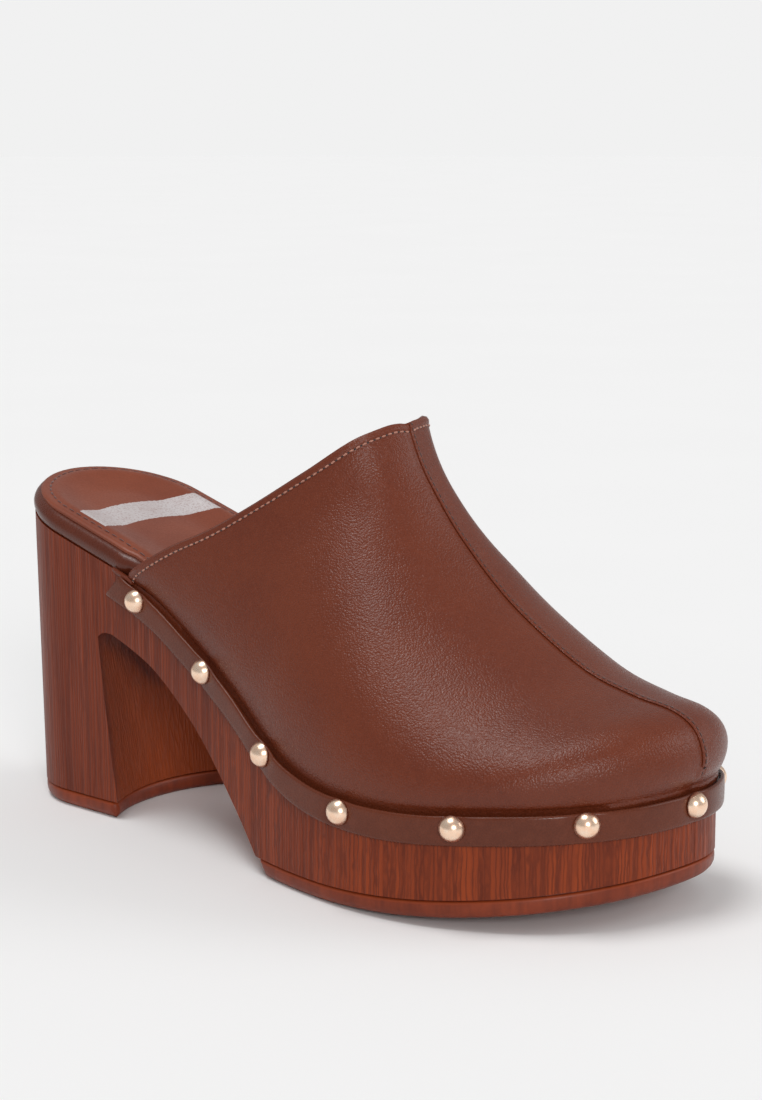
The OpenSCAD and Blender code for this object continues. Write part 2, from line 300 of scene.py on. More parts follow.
class Finish:  # small helper that adds and links nodes of one material
    def __init__(self, name):
        self.material = bpy.data.materials.new(name)
        self.material.use_nodes = True
        self.tree = self.material.node_tree
        self.shader = self.tree.nodes["Principled BSDF"]
        self.coordinates = self.add("ShaderNodeTexCoord").outputs["Object"]

    def add(self, kind, **values):
        node = self.tree.nodes.new(kind)
        for key, value in values.items():
            if key in node.inputs:
                node.inputs[key].default_value = value
            else:
                setattr(node, key, value)
        return node

    def link(self, source, target):
        self.tree.links.new(source, target)

    def put(self, value, socket):  # links a node's output, or sets a fixed value
        if isinstance(value, (tuple, float, int)):
            socket.default_value = value
        else:
            self.link(value, socket)

    def scaled(self, x, y, z):  # object coordinates stretched by x, y, z
        mapping = self.add("ShaderNodeMapping")
        mapping.inputs["Scale"].default_value = (x, y, z)
        self.link(self.coordinates, mapping.inputs["Vector"])
        return mapping.outputs["Vector"]

    def noise(self, vector, scale, detail=4.0, roughness=0.55, distortion=0.0):
        node = self.add("ShaderNodeTexNoise", Scale=scale, Detail=detail, Roughness=roughness,
                        Distortion=distortion)
        self.link(vector, node.inputs["Vector"])
        return node.outputs["Fac"]

    def warped(self, vector, noiseVector, scale, amount):  # a place moved about by a noise
        spread = self.add("ShaderNodeTexNoise", Scale=scale, Detail=2.0)
        self.link(noiseVector, spread.inputs["Vector"])
        shift = self.add("ShaderNodeVectorMath", operation="SCALE")
        self.link(spread.outputs["Color"], shift.inputs[0])
        self.put(amount, shift.inputs["Scale"])
        place = self.add("ShaderNodeVectorMath", operation="ADD")
        self.link(vector, place.inputs[0])
        self.link(shift.outputs["Vector"], place.inputs[1])
        return place.outputs["Vector"]

    def cells(self, vector, scale, feature="F1", smoothness=0.0):
        node = self.add("ShaderNodeTexVoronoi", feature=feature, Scale=scale)
        if feature == "SMOOTH_F1":
            node.inputs["Smoothness"].default_value = smoothness
        self.link(vector, node.inputs["Vector"])
        return node.outputs["Distance"]

    def remap(self, value, low, high, newLow=0.0, newHigh=1.0):
        node = self.add("ShaderNodeMapRange", **{"From Min": low, "From Max": high, "To Min": newLow,
                                                 "To Max": newHigh})
        self.link(value, node.inputs["Value"])
        return node.outputs["Result"]

    def math(self, operation, a, b):
        node = self.add("ShaderNodeMath", operation=operation)
        self.put(a, node.inputs[0])
        self.put(b, node.inputs[1])
        return node.outputs["Value"]

    def times(self, a, b):
        return self.math("MULTIPLY", a, b)

    def blend(self, share, a, b):
        node = self.add("ShaderNodeMix", data_type="RGBA")
        self.link(share, node.inputs["Factor"])
        self.put(a, node.inputs[6])
        self.put(b, node.inputs[7])
        return node.outputs[2]

    def attribute(self, name):
        return self.add("ShaderNodeAttribute", attribute_name=name).outputs["Fac"]

    def bump(self, height, strength, distance):
        node = self.add("ShaderNodeBump", Strength=strength, Distance=distance)
        self.link(height, node.inputs["Height"])
        return node.outputs["Normal"]

    def finish(self, color, roughness, normal=None, **values):
        self.put(color, self.shader.inputs["Base Color"])
        self.put(roughness, self.shader.inputs["Roughness"])
        if normal is not None:
            self.link(normal, self.shader.inputs["Normal"])
        for key, value in values.items():
            self.shader.inputs[key.replace("_", " ")].default_value = value
        return self.material


woodLook = {"base": tint(126, 51, 22), "dark": tint(84, 30, 14), "warm": tint(158, 66, 23),
            # the glow colour is painted light: the arch and breast faces are tinted brighter orange, standing
            # in for light that reaches under the arch
            "heel": tint(113, 46, 23), "paintedGlow": tint(156, 66, 13), "paintedGlowShare": 0.52,
            # the worn colour lightens the rubbed edges and also paints the highlight on their rounded bevels
            "worn": tint(188, 88, 36), "lines": 800, "roughness": 0.42}


def stainedWood():
    f = Finish("stainedWood")
    split = f.add("ShaderNodeSeparateXYZ")
    f.link(f.coordinates, split.inputs[0])
    front = f.remap(split.outputs["Y"], 0.035, -0.005)  # 0 on the heel, 1 on the platform
    wander = f.remap(front, 0, 1, 0.0006, 0.0014)
    lanes = f.warped(f.scaled(1, 1, 0.012), f.scaled(1, 1, 0.7), 190.0, wander)
    line = f.remap(f.cells(lanes, woodLook["lines"], "DISTANCE_TO_EDGE"), 0.03, 0.2, 1.0, 0.0)
    tone = f.noise(lanes, woodLook["lines"] * 0.5, 2, 0.6)
    broken = f.remap(f.noise(f.scaled(1, 1, 0.35), 260, 2), 0.35, 0.6, 0.55, 1.0)
    broad = f.noise(f.scaled(1, 1, 0.1), 60, 3, 0.5, 0.6)
    pores = f.noise(f.scaled(1, 1, 0.06), 1700, 3, 0.6)
    color = f.blend(front, woodLook["heel"], woodLook["base"])
    color = f.blend(f.remap(broad, 0.4, 0.72, 0, 0.3), color, woodLook["warm"])
    warm = f.times(f.remap(tone, 0.5, 0.64), f.remap(front, 0, 1, 0.25, 0.42))
    color = f.blend(warm, color, woodLook["warm"])
    color = f.blend(f.remap(tone, 0.36, 0.46, 0.25, 0.0), color, woodLook["dark"])
    dark = f.times(f.times(line, broken), f.remap(front, 0, 1, 0.62, 0.68))
    color = f.blend(dark, color, woodLook["dark"])
    color = f.blend(f.remap(pores, 0.30, 0.42, 0.35, 0.0), color, woodLook["dark"])
    # painted light: brighter orange on the arch and breast faces where the hollow mask is set
    color = f.blend(f.times(f.attribute("hollow"), woodLook["paintedGlowShare"]), color, woodLook["paintedGlow"])
    # rubbed edges made lighter, which also paints the highlight on the rounded bevels
    worn = f.times(f.attribute("wearAndHighlight"), f.remap(pores, 0.3, 0.6, 0.65, 1.0))
    color = f.blend(worn, color, woodLook["worn"])
    roughness = f.remap(tone, 0.3, 0.7, woodLook["roughness"] + 0.1, woodLook["roughness"] - 0.04)
    height = f.math("SUBTRACT", f.times(pores, 0.3), f.times(line, 0.7))
    return f.finish(color, roughness, f.bump(height, 0.6, 0.00022), Specular_IOR_Level=0.2)


def stainedTread():
    f = Finish("stainedTread")
    cloud = f.noise(f.coordinates, 70, 4, 0.6)
    streak = f.noise(f.scaled(1, 1, 0.2), 420, 4, 0.6)
    scuff = f.noise(f.scaled(1, 0.3, 1), 900, 3, 0.7)
    color = f.blend(f.remap(cloud, 0.35, 0.7), tint(116, 46, 23), tint(138, 57, 27))
    color = f.blend(f.remap(streak, 0.4, 0.7, 0, 0.45), color, tint(78, 29, 16))
    # the top lip is lighter: wear that also paints the highlight along the tread's top edge
    color = f.blend(f.times(f.attribute("wearAndHighlight"), 0.6), color, tint(158, 70, 34))
    height = f.math("ADD", f.times(cloud, 0.6), f.times(scuff, 0.4))
    return f.finish(color, f.remap(scuff, 0.3, 0.7, 0.34, 0.5), f.bump(height, 0.25, 0.0003),
                    Specular_IOR_Level=0.28)


upperLook = {"base": tint(108, 48, 26), "deep": tint(101, 43, 23), "light": tint(116, 54, 32),
             "grain": 1700, "roughness": 0.31}


def grainLeather(name, base, deep, light, grain, roughness, depth=0.00016, strength=0.9, gloss=0.32):
    f = Finish(name)
    warp = f.noise(f.coordinates, grain * 0.25, 2)
    place = f.warped(f.coordinates, f.coordinates, grain * 0.4, 0.9 / grain)
    pebble = f.cells(place, grain, "SMOOTH_F1", 0.25)
    crease = f.cells(place, grain, "DISTANCE_TO_EDGE")
    wrinkle = f.noise(f.coordinates, grain * 0.95, 4, 0.6)
    cloud = f.noise(f.coordinates, 38, 3, 0.5)
    color = f.blend(f.remap(cloud, 0.35, 0.68), deep, base)
    color = f.blend(f.remap(warp, 0.45, 0.75, 0, 0.35), color, light)
    color = f.blend(f.remap(crease, 0.0, 0.1, 0.35, 0.0), color, tint(64, 26, 16))
    height = f.math("SUBTRACT", f.times(wrinkle, 0.6), f.times(pebble, 0.75))
    rough = f.remap(wrinkle, 0.35, 0.65, roughness - 0.06, roughness + 0.08)
    return f.finish(color, rough, f.bump(height, strength, depth), Specular_IOR_Level=gloss)


upperLeather = grainLeather("upperLeather", upperLook["base"], upperLook["deep"], upperLook["light"],
                            upperLook["grain"], upperLook["roughness"])
bandLeather = grainLeather("bandLeather", tint(102, 49, 30), tint(93, 44, 27), tint(112, 57, 38), 1500, 0.27,
                           0.00008, 0.4, 0.24)
wrapLeather = grainLeather("wrapLeather", tint(92, 40, 23), tint(84, 36, 21), tint(102, 48, 30), 1500, 0.28,
                           0.00008, 0.35, 0.32)
liningLeather = grainLeather("liningLeather", tint(140, 82, 54), tint(128, 72, 47), tint(152, 94, 66),
                             1300, 0.5, 0.0001, 0.35, 0.3)

# plain foil band across the heel seat, in metres of the shared frame
foilLook = {"front": 0.0825, "back": 0.0945, "half": 0.0246, "bow": 0.006, "middle": 0.00105,
            "fade": 0.0002, "color": tint(226, 218, 218)}


def sockLeather():
    f = Finish("sockLeather")
    grain = f.noise(f.coordinates, 1500, 5, 0.65)
    pebble = f.cells(f.coordinates, 1300, "SMOOTH_F1", 0.4)
    cloud = f.noise(f.coordinates, 45, 3, 0.5)
    color = f.blend(f.remap(cloud, 0.35, 0.68), tint(120, 57, 36), tint(132, 66, 43))
    color = f.blend(f.remap(grain, 0.4, 0.7, 0, 0.3), color, tint(94, 43, 28))
    split = f.add("ShaderNodeSeparateXYZ")
    f.link(f.coordinates, split.inputs[0])
    ragged = f.times(f.math("SUBTRACT", f.noise(f.coordinates, 900, 3), 0.5), 0.0012)
    along = f.math("ADD", split.outputs["Y"], ragged)
    across = f.math("ABSOLUTE", f.math("ADD", split.outputs["X"], foilLook["middle"]), 0)
    bow = f.times(f.math("POWER", f.math("DIVIDE", across, 0.025), 2), foilLook["bow"])
    along = f.math("ADD", along, bow)
    fade = foilLook["fade"]
    inside = f.times(f.remap(along, foilLook["front"], foilLook["front"] + fade),
                     f.remap(along, foilLook["back"] + fade, foilLook["back"]))
    flecks = f.remap(f.noise(f.coordinates, 1300, 4, 0.75), 0.38, 0.5, 0.55, 1.0)
    worn = f.remap(f.noise(f.coordinates, 90, 2, 0.5), 0.3, 0.5, 0.8, 1.0)
    inside = f.times(inside, f.remap(across, foilLook["half"], foilLook["half"] - fade))
    foil = f.times(f.times(inside, flecks), worn)
    color = f.blend(foil, color, foilLook["color"])
    f.link(f.times(foil, 0.55), f.shader.inputs["Metallic"])
    height = f.math("SUBTRACT", f.times(grain, 0.6), f.times(pebble, 0.6))
    rough = f.remap(grain, 0.35, 0.65, 0.28, 0.42)
    return f.finish(color, rough, f.bump(height, 0.35, 0.0001), Specular_IOR_Level=0.26)


def studMetal():
    f = Finish("studMetal")
    cloud = f.noise(f.coordinates, 500, 3, 0.6)
    scratch = f.noise(f.scaled(1, 1, 6), 1800, 4, 0.7)
    color = f.blend(f.remap(cloud, 0.35, 0.65), tint(255, 214, 184), tint(255, 228, 204))
    return f.finish(color, f.remap(scratch, 0.3, 0.7, 0.22, 0.34), f.bump(scratch, 0.08, 0.00003), Metallic=1.0)


def steel(name, color, roughness):
    f = Finish(name)
    brushed = f.noise(f.scaled(1, 0.05, 1), 1400, 4, 0.7)
    patch = f.noise(f.coordinates, 220, 3)
    tone = f.blend(f.remap(patch, 0.35, 0.7, 0, 0.5), color, tint(104, 98, 92))
    return f.finish(tone, f.remap(brushed, 0.3, 0.7, roughness, roughness + 0.2), f.bump(brushed, 0.2, 0.00005),
                    Metallic=1.0)


def threadFinish(name, light, dark):
    f = Finish(name)
    twist = f.add("ShaderNodeTexWave", wave_type="BANDS", bands_direction="DIAGONAL", Scale=1500.0,
                  Distortion=1.0)
    f.link(f.coordinates, twist.inputs["Vector"])
    tone = f.noise(f.coordinates, 400, 2)
    color = f.blend(twist.outputs["Fac"], dark, light)
    color = f.blend(f.remap(tone, 0.4, 0.7, 0, 0.4), color, dark)
    return f.finish(color, 0.6, f.bump(twist.outputs["Fac"], 0.4, 0.00005), Sheen_Weight=0.3)


def fibreBoard(name, light, dark):
    f = Finish(name)
    fibre = f.noise(f.scaled(1, 0.15, 1), 900, 5, 0.7)
    speck = f.noise(f.coordinates, 2200, 3, 0.7)
    color = f.blend(f.remap(fibre, 0.35, 0.65), dark, light)
    color = f.blend(f.remap(speck, 0.6, 0.72, 0, 0.5), color, tint(96, 70, 48))
    return f.finish(color, 0.85, f.bump(fibre, 0.3, 0.0001))


def foamFinish():
    f = Finish("cushionFoam")
    pore = f.cells(f.coordinates, 1400, "F1")
    cloud = f.noise(f.coordinates, 60, 2)
    color = f.blend(f.remap(pore, 0.1, 0.6), tint(206, 190, 150), tint(232, 220, 186))
    color = f.blend(f.remap(cloud, 0.4, 0.7, 0, 0.4), color, tint(214, 196, 150))
    return f.finish(color, 0.9, f.bump(pore, 0.5, 0.0002))


woodFinish = stainedWood()
treadFinish = stainedTread()
sockFinish = sockLeather()
brassFinish = studMetal()
print("materials ready")

# wood base
baseShape = {"heelSteps": 18, "sideSteps": 8, "breastSteps": 12, "archRound": 5, "toeStep": 0.09,
             "breastTop": 54, "overBreast": (42, 47.5, 54.5), "archHollow": 0.75, "soleRear": 125.9,
             "edgeRound": 0.0016, "rebate": 1.55, "rebateTall": 8.8, "rebateY": 61, "across": 14}


def baseColumns():  # from the heel's back to the toe: y and z of the underside, y of the top, hollowness
    columns = []
    tread, low, high, ahead = clog["tread"], *baseShape["overBreast"]
    steps = baseShape["heelSteps"]
    for k in range(steps + 1):
        y = cornerY - heelReach * math.cos(math.radians(90 * k / steps))
        columns.append((y, tread, y, 0.0))
    frontY = clog["breastY"] - clog["breastLean"] * tread
    for k in range(1, baseShape["sideSteps"] + 1):
        t = k / baseShape["sideSteps"]
        columns.append((mix(cornerY, frontY, t), tread, mix(cornerY, low, t), t**2))
    for k in range(1, baseShape["breastSteps"] + 1):
        t = k / baseShape["breastSteps"]
        z = mix(tread, baseShape["breastTop"], t)
        columns.append((clog["breastY"] - clog["breastLean"] * z, z, mix(low, high, t), 1.0))
    start, bend, end = Vector((47.4, 54)), Vector((46.6, 60)), Vector((54.5, 59.0))
    for k in range(1, baseShape["archRound"] + 1):
        t = k / baseShape["archRound"]
        p = start * (1 - t)**2 + bend * 2 * t * (1 - t) + end * t * t
        columns.append((p[0], p[1], mix(high, ahead, t), mix(1.0, baseShape["archHollow"], t)))
    place = 1.4
    while place < 7.2:
        p = chainAt(archPoints, place)
        if p[0] > 56 and p[1] > tread + 0.3:
            hollow = baseShape["archHollow"] * (1 - smooth(55, 84, p[0]))
            columns.append((p[0], p[1], p[0], hollow))
        place += 0.1
    columns.append((baseShape["soleRear"], tread, baseShape["soleRear"], 0.0))
    ys, place = [], placeOf(-1, 128)
    while place < toePlace - 0.06:
        ys.append(edgeAt(place)[1])
        place += baseShape["toeStep"]
    tipY = edgeAt(toePlace)[1]
    return columns + [(y, tread + springHeight(y), y, 0.0) for y in ys + [tipY - 0.25, tipY]]


columnList = baseColumns()
wallRows = 6


def basePoint(column, side, row):
    yLow, zLow, yTop = columnList[column][:3]
    zTop = topHeight(yTop)
    cut = baseShape["rebate"] if yTop > baseShape["rebateY"] and row > 3 else 0.0
    zShelf = zTop - baseShape["rebateTall"]
    heights = [zLow, mix(zLow, zShelf, 0.33), mix(zLow, zShelf, 0.66), zShelf, zShelf + 0.01, zTop - 0.3, zTop]
    z = heights[row]
    share = clip((z - zLow) / (zTop - zLow), 0, 1)
    y = mix(yLow, yTop, share)
    p = wallAt(side, y, -cut)
    x, y = taper(p[0], p[1], z)
    return x, y, z


def acrossBase(column, row, share):  # between the outer and the inner wall
    a, b = basePoint(column, -1, row), basePoint(column, 1, row)
    return (mix(a[i], b[i], share) for i in range(3))


def baseRing(column, row):  # one ring: outer wall up, top across, inner wall down, underside back
    across = baseShape["across"]
    hollow = columnList[column][3]
    if row <= wallRows:
        return toRow(*basePoint(column, -1, row))
    if row <= wallRows + across:
        return toRow(*acrossBase(column, wallRows, (row - wallRows) / across))
    if row <= 2 * wallRows + across:
        return toRow(*basePoint(column, 1, 2 * wallRows + across - row))
    share = 1 - (row - 2 * wallRows - across) / across
    x, y, z = acrossBase(column, 0, share)
    return toRow(x, y - clog["breastDepth"] * 4 * share * (1 - share) * hollow, z)


def woodBase():
    shape = gridShape(len(columnList) - 1, 2 * wallRows + 2 * baseShape["across"], baseRing)
    closeShape(shape, 0.000012)
    shape.verts.layers.float.new("wearAndHighlight")
    shape.verts.layers.float.new("hollow")
    wearAndHighlight, hollow = shape.verts.layers.float["wearAndHighlight"], shape.verts.layers.float["hollow"]
    # the hollow mask marks the arch and breast faces that get painted orange light in the wood finish
    for vert in shape.verts:
        x, y, z = vert.co.x * 1000 + clog["midX"], clog["midY"] - vert.co.y * 1000, vert.co.z * 1000
        if 40 < y < 128 and z < topHeight(y) - 9.5:
            inward = min(x - wallAt(-1, y)[0], wallAt(1, y)[0] - x)
            vert[hollow] = smooth(1.5, 4.0, inward) * (1 - smooth(48, 58, z))
    worn = []
    for edge in shape.edges:
        middle = (edge.verts[0].co + edge.verts[1].co) / 2
        y, z = clog["midY"] - middle.y * 1000, middle.z * 1000
        if (44 < y < 127 and len(edge.link_faces) == 2 and edge.calc_face_angle() > 0.6 and z > 5.9
                and z < topHeight(y) - 9.4 and abs(middle.x) > 0.027):
            worn.append(edge)
    rounded = bmesh.ops.bevel(shape, geom=worn, offset=baseShape["edgeRound"], segments=4, profile=0.5,
                              affect="EDGES", material=-1, clamp_overlap=True)
    inside = set(rounded["faces"])
    # the bevel's inner vertices are marked for the lighter edge colour: rubbed wear plus a painted highlight
    for vert in rounded["verts"]:
        if all(face in inside for face in vert.link_faces):
            vert[wearAndHighlight] = 1.0
    return makePiece("woodBase", shape, woodFinish, "base_wood", ["clog_base"], 35)


woodBase()


# treads
treadShape = {"inset": 3.4, "heelInset": 1.9, "rearY": 124.6, "steps": 150, "slices": 16, "rearLean": 4.0,
              "profile": [(-3.4, 0.0), (-2.3, 0.12), (-1.35, 0.5), (-0.65, 1.15), (-0.22, 2.1), (-0.1, 3.1),
                          (-0.12, 4.1), (-0.3, 4.7), (-0.75, 5.0), (-1.15, 5.1), (-1.25, 5.48), (-3.4, 5.5)]}


def cornerFan(point, fromNormal, toNormal, steps=6):
    return [(point, fromNormal.lerp(toNormal, k / steps).normalized()) for k in range(steps + 1)]


def platformOutline():
    inset, steps = treadShape["inset"], treadShape["steps"]
    rearY = treadShape["rearY"] + inset
    start, end = placeOf(-1, rearY), placeOf(1, rearY)
    places = [mix(start, end, k / steps) for k in range(steps + 1)]
    pairs = [(edgeAt(place, -inset), edgeNormal(place)) for place in places]
    rear = Vector((0, -1))
    pairs += cornerFan(*pairs[-1], rear)[1:]
    a, b = pairs[steps][0], pairs[0][0]
    pairs += [(a.lerp(b, k / 24), rear) for k in range(1, 24)]
    pairs += cornerFan(b, rear, pairs[0][1])[:-1]
    return pairs


def heelOutline():
    inset = treadShape["heelInset"]
    half, depth = clog["heelHalf"], clog["breastDepth"]
    radius = (half * half + depth * depth) / (2 * depth)
    middle = Vector((0, clog["breastY"] - depth + radius))
    side = half - inset
    frontY = middle[1] - math.sqrt((radius + inset)**2 - side**2)
    outer, inner = Vector((-1, 0)), Vector((1, 0))
    pairs = [(Vector((-side, mix(frontY, cornerY, k / 8))), outer) for k in range(9)]
    for k in range(1, 40):
        turn = math.pi * k / 40
        pairs.append((Vector((-side * math.cos(turn), cornerY - (heelReach - inset) * math.sin(turn))),
                      Vector((-math.cos(turn), -math.sin(turn)))))
    pairs += [(Vector((side, mix(cornerY, frontY, k / 8))), inner) for k in range(9)]
    arc = []
    for k in range(31):
        x = mix(side, -side, k / 30)
        point = Vector((x, middle[1] - math.sqrt((radius + inset)**2 - x * x)))
        arc.append((point, (middle - point).normalized()))
    pairs += cornerFan(arc[0][0], inner, arc[0][1])[1:-1] + arc
    return pairs + cornerFan(*arc[-1], outer)[1:-1]


def treadPiece(name, pairs, inset, follow, standsFor):
    def place(column, row):
        point, normal = pairs[column % len(pairs)]
        out, z = treadShape["profile"][row]
        p = point + normal * (max(out, 0.1 * out - inset) + inset)
        return Vector((p[0], p[1], z))

    shape = gridShape(len(pairs), len(treadShape["profile"]) - 1, place)
    sealShape(shape, 0.002)
    low, high = min(vert.co.y for vert in shape.verts), max(vert.co.y for vert in shape.verts)
    for k in range(1, treadShape["slices"]):
        everything = shape.verts[:] + shape.edges[:] + shape.faces[:]
        cutY = mix(low, high, k / treadShape["slices"])
        bmesh.ops.bisect_plane(shape, geom=everything, dist=0.0001, plane_co=(0, cutY, 0), plane_no=(0, 1, 0))
    # the top lip is marked for lighter colour: wear plus a painted highlight
    wearAndHighlight = shape.verts.layers.float.new("wearAndHighlight")
    for vert in shape.verts:
        if 4.6 < vert.co.z < 5.05:
            vert[wearAndHighlight] = 1.0
        vert.co = toRow(*follow(*vert.co))
    bmesh.ops.recalc_face_normals(shape, faces=shape.faces)
    return makePiece(name, shape, treadFinish, "tread", standsFor, 50)


def followToe(x, y, z):
    lean = treadShape["rearLean"] * (1 - z / clog["tread"]) * (1 - smooth(126, 131, y))
    return x, y + lean, z + springHeight(y)


def followHeel(x, y, z):
    return *taper(x, y - clog["breastLean"] * z * smooth(40, 46, y), z), z


treadPiece("platformTread", platformOutline(), treadShape["inset"], followToe, ["platform_outsole"])
treadPiece("heelTread", heelOutline(), treadShape["heelInset"], followHeel, ["heel_top_piece"])

# studs: places first, because the band is pressed in round them
studs = {"radius": 3.7, "pitch": 36.4, "innerShare": 0.975, "eachSide": 6, "bandThick": 2.2, "lift": 0.8,
         "shank": 0.8, "depth": 13.5}


def rimPoint(place):
    e = edgeAt(place, studs["bandThick"])
    return Vector((e[0], e[1], topHeight(e[1])))


def studPlaces():
    steps = 100  # for each point of the plan
    lengths, found = [0.0], []
    for k in range(1, (len(edgePoints) - 1) * steps + 1):
        lengths.append(lengths[-1] + (rimPoint(k / steps) - rimPoint((k - 1) / steps)).length)
    tipFar = lengths[int(upper["tipPlace"] * steps)]
    for i in range(-studs["eachSide"], studs["eachSide"] + 1):
        want = tipFar + i * studs["pitch"] * (studs["innerShare"] if i > 0 else 1)
        found.append(min(range(len(lengths)), key=lambda index: abs(lengths[index] - want)) / steps)
    return found


def studCentre(place):
    centre = rimPoint(place)
    centre[2] = topHeight(centre[1]) - upper["bandHeight"] / 2 - 0.3 + studs["lift"]
    return centre, edgeNormal(place).to_3d()


studSpots = [studCentre(place) for place in studPlaces()]


def studHeads():
    rim, shank = studs["radius"], studs["shank"]
    shape = bmesh.new()
    profile = [(0.0, 2.98), (0.55, 2.95), (1.1, 2.83), (1.65, 2.62), (2.2, 2.3), (2.7, 1.88), (3.1, 1.4),
               (3.4, 0.88), (3.6, 0.38), (rim, 0.12), (rim, -0.12), (3.45, -0.28), (2.6, -0.3), (1.0, -0.3),
               (shank, -0.6), (shank, -11.5), (0.0, -studs["depth"])]
    for centre, normal in studSpots:
        verts = [shape.verts.new((a, 0, b)) for a, b in profile]
        edges = [shape.edges.new(pair) for pair in zip(verts, verts[1:])]
        bmesh.ops.spin(shape, geom=verts + edges, cent=(0, 0, 0), axis=(0, 0, 1), steps=28,
                       angle=2 * math.pi, use_merge=True)
        turn = normal.to_track_quat("Z", "Y").to_matrix()
        for vert in [vert for vert in shape.verts if not vert.tag]:
            vert.co = toRow(*(centre + turn @ vert.co))
            vert.tag = True
    closeShape(shape, 0.00001)
    return makePiece("studHeads", shape, brassFinish, "stud_metal", ["dome_studs"], 50)


studHeads()

# nailed band
bandShape = {"columns": 330, "rearY": 61, "rearLean": 7, "dent": 0.55, "dentWide": 4.7, "wave": 0.12,
             "rearRise": 0.5,
             "profile": [(0.05, -1.9), (0.75, -1.75), (1.0, -0.75), (1.3, -0.4), (1.72, -0.36),
                         (2.06, -0.62), (2.2, -1.1), (2.24, -2.6), (2.26, -4.5), (2.24, -6.4), (2.2, -7.7),
                         (2.06, -8.25), (1.7, -8.58), (1.1, -8.7), (0.3, -8.66), (0.05, -8.4), (0.05, -4.5)]}


def bandAt(column, row):
    out, drop = bandShape["profile"][row % len(bandShape["profile"])]
    share = (-drop - 0.3) / upper["bandHeight"]
    rear = bandShape["rearY"] - bandShape["rearLean"] * share
    start, end = placeOf(-1, rear), placeOf(1, rear)
    place = mix(start, end, column / bandShape["columns"])
    e, n = edgeAt(place), edgeNormal(place).to_3d()
    point = Vector((e[0] + n[0] * out, e[1] + n[1] * out, topHeight(e[1]) + drop))
    if out > 1.0:
        nearest = min((point - centre).length for centre, normal in studSpots)
        dent = bandShape["dent"] * math.exp(-(nearest / bandShape["dentWide"])**4)
        wave = bandShape["wave"] * noise.noise(point / 9.0)
        point -= n * (dent + wave)
    if drop > -2:
        point[2] += bandShape["rearRise"] * (1 - smooth(0, 6, point[1] - rear))
    ends = min(column, bandShape["columns"] - column)
    if ends < 2 and out > 1.0:
        point -= n * (0.35 if ends == 0 else 0.08)
    return toRow(*point)


closedPiece("weltBand", bandShape["columns"], len(bandShape["profile"]), bandAt, bandLeather,
            "band_leather", ["welt_band"], 55)

tabShape = {"back": 56.8, "front": 66.0, "steps": 12,
            "profile": [(0.0, -0.3), (1.0, -0.28), (1.15, 0.1), (1.1, 0.75), (0.85, 1.05), (0.1, 1.05),
                        (0.0, 0.4)]}


def marginTab(name, side):  # end of the upper's margin, which shows behind the band
    def place(column, row):
        out, up = tabShape["profile"][row % len(tabShape["profile"])]
        y = mix(tabShape["back"], tabShape["front"], column / tabShape["steps"])
        p = wallAt(side, y, out * (0.8 if column == 0 else 1))
        return toRow(p[0], p[1], topHeight(y) + up)

    closedPiece(name, tabShape["steps"], len(tabShape["profile"]), place, upperLeather, "upper_leather")


marginTab("marginTabOuter", -1)
marginTab("marginTabInner", 1)

# upper halves
vampShape = {"columns": 110, "rows": 66, "skirtRows": 3, "fold": 2.6, "foldRise": 0.24, "groove": 0.22,
             "lapRise": 0.34, "lapWide": 2.6, "lapStitch": 1.1, "wave": 0.2, "tuck": 0.6}


rimLines = {side: [upperAt(side, 0, k / 90, 0) for k in range(91)] for side in (-1, 1)}


def fromRim(side, point):  # distance to the nearest point of the topline
    line = rimLines[side]
    near = min(range(len(line)), key=lambda index: (line[index] - point).length_squared)
    best = (line[near] - point).length
    for a, b in ((near - 1, near), (near, near + 1)):
        if 0 <= a and b < len(line):
            run = line[b] - line[a]
            share = clip((point - line[a]).dot(run) / run.length_squared, 0, 1)
            best = min(best, (line[a] + run * share - point).length)
    return best


def reliefAt(side, t, v, point):  # how far the skin stands proud: fold, stitch groove, lapped seam
    fromTop = fromRim(side, point) if t < 0.5 else 20.0
    low, high = upperAt(side, t, 0, 0), upperAt(side, t, 1, 0)
    fromSeam = (point - high).length
    rise = vampShape["foldRise"] * (1 - smooth(2.2, 3.6, fromTop))
    rise -= vampShape["groove"] * math.exp(-((fromTop - vampShape["fold"]) / 0.55)**2)
    rise -= 0.55 * (1 - smooth(0.0, 0.9, fromTop))
    if side > 0:
        rise += vampShape["lapRise"] * (1 - smooth(vampShape["lapWide"] * 0.45, vampShape["lapWide"], fromSeam))
        rise -= 0.2 * math.exp(-((fromSeam - vampShape["lapStitch"]) / 0.4)**2)
        rise -= 0.3 * (1 - smooth(0.0, 0.6, fromSeam))
    else:
        rise -= 0.3 * (1 - smooth(0.3, 2.5, fromSeam))
    rise -= vampShape["tuck"] * (1 - smooth(0.0, 1.7, (point - low).length)) * smooth(1, 7, (high - low).length)
    inner = smooth(3, 14, fromTop) * smooth(0.02, 0.2, v) * smooth(2, 10, fromSeam)
    rise += vampShape["wave"] * inner * noise.noise(point / 17.0 + Vector((3.1, 0.4, 8.2)))
    return rise


def skinAt(side, t, v):
    point = upperAt(side, t, v, 0)
    return point + upperNormal(side, t, v) * reliefAt(side, t, v, point)


